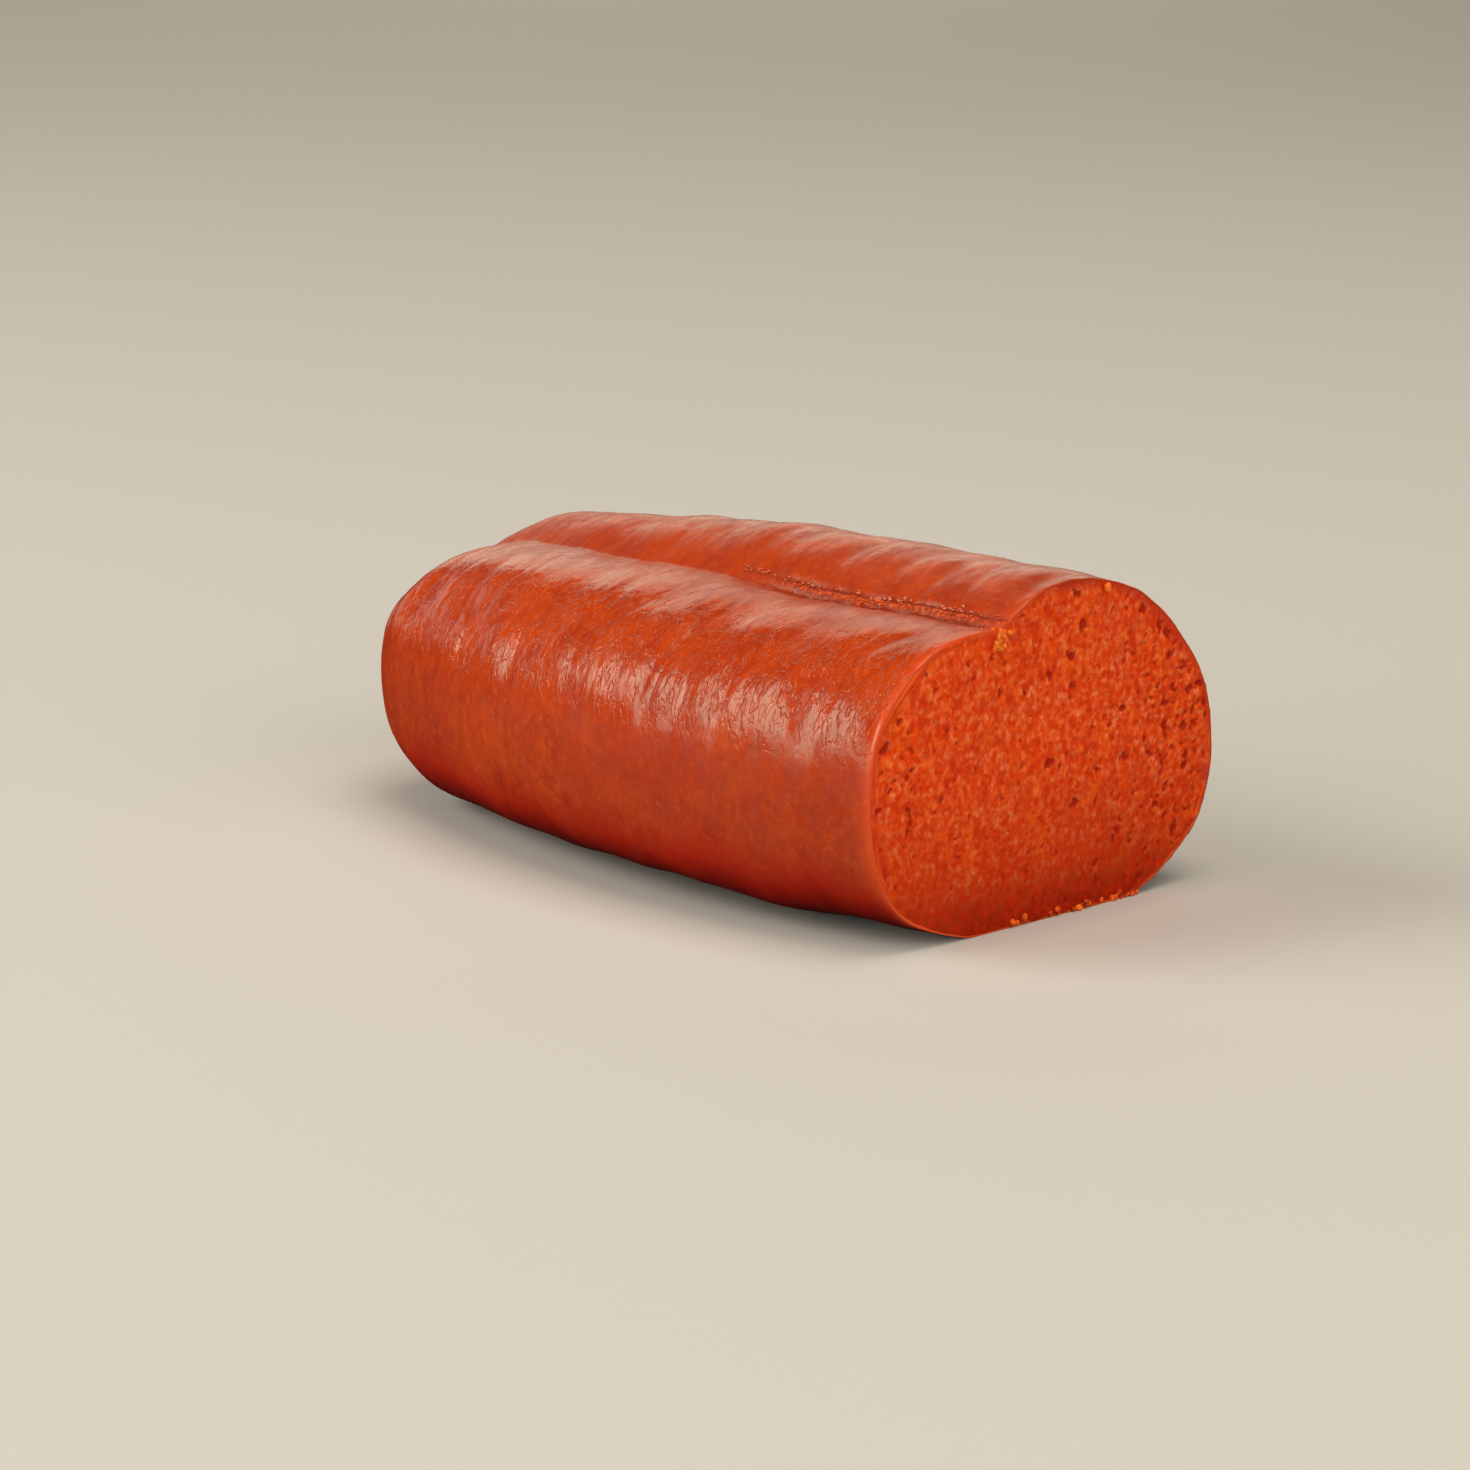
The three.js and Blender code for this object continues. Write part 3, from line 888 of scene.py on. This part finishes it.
# A pattern is noise, as its size in metres, detail, roughness and distortion, and the two noise values
# between which the pattern comes in. A tint is how strongly a colour lies over those before it.
GIRTH, STREAKED = (1, 0.4, 0.4), (1, 0.3, 0.3)
CASING_PATTERNS = {
    "blotches": ((0.014, 4, 0.6, 0.5), (0.36, 0.64)),
    "clouds": ((0.03, 3, 0.5, 0.3), (0.4, 0.7)),
    "specks": ((0.0022, 3, 0.6), (0.5, 0.72)),
    "dark_specks": ((0.0031, 3, 0.6), (0.56, 0.75)),
    "streaks": ((0.0035, 3, 0.6, 0.6), (0.35, 0.65)),
    "shiny": ((0.006, 3, 0.6), (0.35, 0.6)),
}
CASING_DARK, CASING_LIGHT = (143, 39, 8), (163, 54, 12)
CASING_TINTS = {
    "clouds": (0.6, (138, 35, 8)),
    "specks": (0.5, (190, 76, 26)),
    "dark_specks": (0.6, (128, 27, 7)),
    "streaks": (0.3, (186, 70, 22)),
    # Painted shade in the groove.
    "groove": (0.25, (128, 28, 6)),
    # low and foot are painted shade, darker towards the bottom.
    "low": (0.9, (157, 13, 1)),
    "foot": (0.9, (92, 3, 0)),
    # Painted shade in the seam's folds.
    "fold": (0.75, (98, 20, 6)),
    "rim": (0.8, (216, 72, 22)),
    # Painted shade in the cracks of the shiny patches.
    "crack": (0.45, (120, 26, 5)),
}
# The painted pinkish sheen on the low lobe's side: its colour, and its strength where the clouds are least
# and most.
SIDE_SHEEN_COLOUR, SIDE_SHEEN_IN_CLOUDS = (156, 48, 27), (0.15, 0.55)
RESIDUE = (0.0013, 4, 0.7)
RESIDUE_STOPS = ((0.35, (104, 18, 2)), (0.5, (164, 48, 6)), (0.66, (216, 96, 24)))
# Fine cracks are the lines where noise crosses its middle, bent by the wobble.
WOBBLE_SCALE, WOBBLE_REACH = 260.0, 0.003
COARSE_CRACKS, COARSE_WIDTH, COARSE_SHOWN = (0.0045, 2, 0.5), 0.03, 0.7
SMALL_CRACKS, SMALL_WIDTH = (0.002, 2, 0.5), 0.04
# What makes the casing rougher or smoother: from no gloss to full, in the cracks, streaks, rim and band.
CASING_ROUGH = {"gloss": (0.38, 0.17), "streaks": (0.05, -0.05), "crack": 0.1, "rim": 0.25, "band": 0.35}
ROUGH_GRAIN, ROUGH_GRAIN_ENDS, ROUGH_GRAIN_RANGE = (0.003, 4, 0.6), (0.3, 0.7), (-0.05, 0.05)
# Heights of the bumps in metres, and how strong they are from the smooth to the creased or glossy skin.
CASING_BUMPS = {"fine": 0.00012, "small": 0.00006, "coarse": 0.00014, "residue": 0.0006}
CRACK_STRENGTH, FINE_STRENGTH = (0.15, 1.0), (0.12, 0.5)
FINE_BUMP = (0.0011, 4, 0.6, 0.5)
CASING_SHADER = {
    "IOR": 1.45,
    "Specular IOR Level": 0.38,
    "Specular Tint": (0.5, 1.0, 0.8, 1),
    "Subsurface Weight": 0.12,
    "Subsurface Radius": (1.0, 0.25, 0.1),
    "Subsurface Scale": 0.003,
}


def casing_material():
    n = Nodes("casing")
    whole, girth = n.place(), n.place(GIRTH)
    blotches = n.pattern(whole, *CASING_PATTERNS["blotches"])
    tint = n.blend(blotches, colour(*CASING_DARK), colour(*CASING_LIGHT))
    places = {"clouds": girth, "specks": whole, "dark_specks": girth, "streaks": n.place(STREAKED)}
    layers = {name: n.pattern(place, *CASING_PATTERNS[name]) for name, place in places.items()}
    clouds, streaks = layers["clouds"], layers["streaks"]
    for name, layer in layers.items():
        tint = n.tinted(tint, layer, *CASING_TINTS[name])
    # Painted shade darkens the groove.
    tint = n.tinted(tint, n.value("groove"), *CASING_TINTS["groove"])
    # Painted sheen: a pinkish haze of reflected light on the low lobe's side, mottled by the clouds.
    tint = n.tinted(tint, n.value("side"), n.remap(clouds, 0.0, 1.0, *SIDE_SHEEN_IN_CLOUDS), SIDE_SHEEN_COLOUR)
    # Painted shade towards the bottom of the casing.
    for name in ("low", "foot"):
        tint = n.tinted(tint, n.value(name), *CASING_TINTS[name])
    residue = n.noise(whole, *RESIDUE)
    tint = n.blend(n.value("band"), tint, n.ramp(residue, RESIDUE_STOPS))
    # fold is painted shade in the seam's folds.
    for name in ("fold", "rim"):
        tint = n.tinted(tint, n.value(name), *CASING_TINTS[name])

    wobble = n.node("ShaderNodeTexNoise", {"Vector": girth, "Scale": WOBBLE_SCALE, "Detail": 4.0}, "Color")
    shift = {0: wobble, "Scale": WOBBLE_REACH}
    crooked = n.node("ShaderNodeVectorMath", shift, "Vector", operation="SCALE")
    crooked = n.node("ShaderNodeVectorMath", {0: crooked, 1: girth}, "Vector", operation="ADD")
    coarse = n.from_middle(n.noise(crooked, *COARSE_CRACKS), COARSE_WIDTH)
    small = n.from_middle(n.noise(crooked, *SMALL_CRACKS), SMALL_WIDTH)
    shiny = n.math("POWER", n.value("crinkle"), 2.0)
    shiny = n.math("MULTIPLY", shiny, n.pattern(whole, *CASING_PATTERNS["shiny"]))
    # Painted shade: the cracks darken where the skin is crinkled and shiny.
    crack = n.math("MULTIPLY", n.math("SUBTRACT", 1.0, n.remap(coarse, 0.0, COARSE_SHOWN)), shiny)
    n.link(n.tinted(tint, crack, *CASING_TINTS["crack"]), n.shader.inputs["Base Color"])

    rough = n.remap(n.noise(whole, *ROUGH_GRAIN), *ROUGH_GRAIN_ENDS, *ROUGH_GRAIN_RANGE)
    parts = (
        n.math("MULTIPLY", crack, CASING_ROUGH["crack"]),
        n.remap(n.value("gloss"), 0.0, 1.0, *CASING_ROUGH["gloss"]),
        n.remap(streaks, 0.0, 1.0, *CASING_ROUGH["streaks"]),
        n.math("MULTIPLY", n.value("rim"), CASING_ROUGH["rim"]),
        n.math("MULTIPLY", n.value("band"), CASING_ROUGH["band"]),
    )
    for part in parts:
        rough = n.math("ADD", rough, part)
    n.link(rough, n.shader.inputs["Roughness"])

    strength = n.remap(n.value("crinkle"), 0.0, 1.0, *CRACK_STRENGTH)
    fine_strength = n.remap(n.value("gloss"), 0.0, 1.0, *FINE_STRENGTH)
    skin_bump = n.bump(n.noise(girth, *FINE_BUMP), CASING_BUMPS["fine"], fine_strength)
    skin_bump = n.bump(small, CASING_BUMPS["small"], strength, skin_bump)
    skin_bump = n.bump(coarse, CASING_BUMPS["coarse"], strength, skin_bump)
    skin_bump = n.bump(residue, CASING_BUMPS["residue"], n.value("band"), skin_bump)
    n.link(skin_bump, n.shader.inputs["Normal"])
    n.set_shader(CASING_SHADER)
    return n.material


# Bright and dull patches: the pattern, its strength in the middle and at the edge, and the colour.
PASTE_PATCHES = (
    (((0.008, 3, 0.6, 0.6), (0.5, 0.7)), (0.45, 0.85), (236, 100, 14)),
    (((0.011, 3, 0.6, 0.6), (0.5, 0.66)), (0.25, 0.9), (180, 48, 26)),
)
PASTE_TINTS = {
    "dry": (0.7, (178, 46, 24)),
    # depth is painted shade in the dimples.
    "depth": (0.62, (181, 35, 1)),
    # Painted shade in the pits.
    "pit": (0.85, (146, 20, 5)),
}
SMEAR_TINT, SMEAR_ENDS = 0.8, (0.2, 0.8)
SMEAR_COLOURS = ((186, 50, 14), (232, 90, 34))
# The colour of the painted shade towards the bottom of the cut.
LOW_SHADE_COLOUR = (143, 26, 2)
# Painted shade in the pits: where it begins and where it is full.
PIT_SHADE_ENDS = (0.15, 0.9)
PASTE_MOTTLE, GRAIN_TONE, TONE_GAIN = (0.002, 3, 0.62), 0.2, 0.84
PASTE_STOPS = (
    (0.22, (205, 44, 5)), (0.4, (209, 57, 8)), (0.51, (214, 74, 18)),
    (0.61, (220, 98, 50)), (0.78, (228, 134, 94)),
)
PASTE_GRAIN, PASTE_GRAIN_ENDS, PASTE_ROUGH = (0.0015, 3, 0.6), (0.3, 0.7), (0.28, 0.55)
PASTE_SHADER = {
    "IOR": 1.42,
    "Specular IOR Level": 0.14,
    "Specular Tint": (1.0, 0.9, 0.75, 1),
    "Subsurface Weight": 0.12,
    "Subsurface Radius": (1.0, 0.3, 0.1),
    "Subsurface Scale": 0.0015,
}


def paste_material():
    n = Nodes("paste")
    whole = n.place()
    tone = n.math("ADD", n.math("MULTIPLY", n.value("tone"), GRAIN_TONE), n.noise(whole, *PASTE_MOTTLE))
    tint = n.ramp(n.math("MULTIPLY", tone, TONE_GAIN), PASTE_STOPS)
    for noise_and_ends, at_edge, shade in PASTE_PATCHES:
        by_edge = n.remap(n.value("edge"), 0.0, 1.0, *at_edge)
        tint = n.tinted(tint, n.pattern(whole, *noise_and_ends), by_edge, shade)
    smear = n.blend(n.remap(n.value("streak"), *SMEAR_ENDS), *(colour(*shade) for shade in SMEAR_COLOURS))
    tint = n.blend(n.math("MULTIPLY", n.value("smear"), SMEAR_TINT), tint, smear)
    # Painted shade, darker towards the bottom of the cut.
    tint = n.blend(n.value("low"), tint, colour(*LOW_SHADE_COLOUR))
    # depth is painted shade in the dimples.
    for name in ("dry", "depth"):
        tint = n.tinted(tint, n.value(name), *PASTE_TINTS[name])
    # Painted shade in the pits.
    tint = n.tinted(tint, n.remap(n.value("pit"), *PIT_SHADE_ENDS), *PASTE_TINTS["pit"])
    n.link(tint, n.shader.inputs["Base Color"])
    rough = n.remap(n.noise(whole, *PASTE_GRAIN), *PASTE_GRAIN_ENDS, *PASTE_ROUGH)
    n.link(rough, n.shader.inputs["Roughness"])
    n.set_shader(PASTE_SHADER)
    return n.material


BITS_MOTTLE, BITS_MOTTLE_SHARE = (0.0008, 3, 0.6), 0.3
BITS_STOPS = ((0.15, (172, 50, 14)), (0.4, (212, 80, 16)), (0.65, (234, 118, 28)), (0.9, (190, 108, 80)))
BITS_BUMP, BITS_BUMP_HEIGHT, BITS_BUMP_STRENGTH = (0.0005, 3, 0.6), 0.0001, 0.6
BITS_SHADER = {
    "Roughness": 0.45,
    "IOR": 1.45,
    "Specular IOR Level": 0.22,
    "Subsurface Weight": 0.2,
    "Subsurface Radius": (1.0, 0.4, 0.15),
    "Subsurface Scale": 0.0012,
}


def bits_material():
    n = Nodes("bits")
    mottle = n.math("MULTIPLY", n.noise(n.place(), *BITS_MOTTLE), BITS_MOTTLE_SHARE)
    shade = n.math("ADD", n.value("tone"), mottle)
    n.link(n.ramp(shade, BITS_STOPS), n.shader.inputs["Base Color"])
    bump = n.bump(n.noise(n.place(), *BITS_BUMP), BITS_BUMP_HEIGHT, BITS_BUMP_STRENGTH)
    n.link(bump, n.shader.inputs["Normal"])
    n.set_shader(BITS_SHADER)
    return n.material


# Camera, light and floor

def make_camera():
    a, e = CAMERA_AZIMUTH, CAMERA_ELEVATION
    ahead = Vector((-math.sin(a) * math.cos(e), math.cos(a) * math.cos(e), -math.sin(e)))
    right = Vector((math.cos(a), math.sin(a), 0))
    up = right.cross(ahead)
    data = bpy.data.cameras.new("camera")
    data.sensor_width = SENSOR
    data.lens = SENSOR * FOCAL_PIXELS / PHOTO_SIZE
    data.clip_start, data.clip_end = 0.05, 50
    camera = bpy.data.objects.new("camera", data)
    aside = (CUT_FOOT_PIXEL[0] - PHOTO_SIZE / 2) / FOCAL_PIXELS
    above = (PHOTO_SIZE / 2 - CUT_FOOT_PIXEL[1]) / FOCAL_PIXELS
    cut_foot = Vector(shifted(np.zeros(3)))
    camera.matrix_world = Matrix((right, up, -ahead)).transposed().to_4x4()
    camera.location = cut_foot - (ahead + right * aside + up * above) * CAMERA_DISTANCE
    bpy.context.scene.collection.objects.link(camera)
    bpy.context.scene.camera = camera


# Softboxes: compass direction as seen from the object, 0 towards +X and 90 towards +Y, height above
# the floor as an angle, roll about the line to the object, distance, width and height in metres,
# power in watts, and tint.
WARM_WHITE, WARM_BACK, WARM_TOP = (1, 0.96, 0.86), (1, 0.93, 0.72), (1, 0.9, 0.78)
SOFTBOXES = {
    "key": (227, 29, -24, 1.5, (1.0, 0.92), 21.6, WARM_WHITE),
    "fill": (262, 12, 0, 1.6, (1.4, 0.5), 8.3, WARM_WHITE),
    "left": (166, 10, 0, 1.6, (0.7, 0.45), 0.7, WARM_WHITE),
    "back": (134, 22, 0, 1.8, (0.95, 1.2), 4.2, WARM_BACK),
    "overhead": (0, 78, 0, 1.7, (1.2, 1.2), 21.5, WARM_TOP),
    "front": (345, 24, 0, 1.6, (1.6, 1.2), 18.0, WARM_WHITE),
}
WORLD_LIGHT = 0.005
FLOOR_HALF = 12.0
FLOOR_SHADER = {"Base Color": (0.48, 0.465, 0.435, 1), "Roughness": 0.9, "Specular IOR Level": 0.2}
# How much farther off and larger each softbox is than listed. The floor behind a softbox's plane gets
# no light from it, and at this scale that floor is outside the photograph's view.
STUDIO_SCALE = 2.3


def make_softbox(name, compass, rise, roll, distance, size, power, tint):
    data = bpy.data.lights.new(name, "AREA")
    data.shape = "RECTANGLE"
    data.size, data.size_y = (side * STUDIO_SCALE for side in size)
    data.energy = power * STUDIO_SCALE**2
    data.color = tint
    light = bpy.data.objects.new(name, data)
    c, r = math.radians(compass), math.radians(rise)
    away = Vector((math.cos(c) * math.cos(r), math.sin(c) * math.cos(r), math.sin(r)))
    turned = away.to_track_quat("Z", "Y").to_matrix() @ Matrix.Rotation(math.radians(roll), 3, "Z")
    light.matrix_world = Matrix.Translation(away * distance * STUDIO_SCALE) @ turned.to_4x4()
    bpy.context.scene.collection.objects.link(light)


def make_stage():
    bpy.context.scene.view_settings.view_transform = "Standard"
    world = bpy.data.worlds.new("studio")
    world.use_nodes = True
    background = world.node_tree.nodes["Background"]
    background.inputs["Color"].default_value = (1, 1, 1, 1)
    background.inputs["Strength"].default_value = WORLD_LIGHT
    bpy.context.scene.world = world
    mesh = bpy.data.meshes.new("floor")
    f = FLOOR_HALF
    mesh.from_pydata([(-f, -f, 0), (f, -f, 0), (f, f, 0), (-f, f, 0)], [], [(0, 1, 2, 3)])
    look = Nodes("floor")
    look.set_shader(FLOOR_SHADER)
    mesh.materials.append(look.material)
    floor = bpy.data.objects.new("floor", mesh)
    bpy.context.scene.collection.objects.link(floor)
    # The photograph's board is dark, so this pale floor is kept out of the casing's reflections.
    floor.visible_glossy = False
    for name, box in SOFTBOXES.items():
        make_softbox(name, *box)


casing_points, casing_faces, casing_values = make_casing()
SIDE_SHIFT = -(casing_points[:, 1].min() + casing_points[:, 1].max()) / 2
make_camera()
make_stage()
make_piece("casing", casing_points, casing_faces, casing_values, casing_material(), "casing")

first_of_edge = 1 + (DOME_RINGS + BODY_RINGS - 1) * CASING_COLUMNS
cut_edge = casing_points[first_of_edge:first_of_edge + CASING_COLUMNS]
used, paste_points, paste_values = make_paste(cut_edge)
make_piece("paste", *closed_sheet(used, paste_points, paste_values, PASTE_BACK), paste_material(), "paste")

rng = np.random.default_rng(BITS_SEED)
crumb_look = bits_material()
make_piece("seam_bits", *bits(seam_places(rng), *SEAM_BALL), crumb_look, "paste")
make_piece("edge_bits", *bits(edge_places(rng, cut_edge), *EDGE_BALL), crumb_look, "paste")
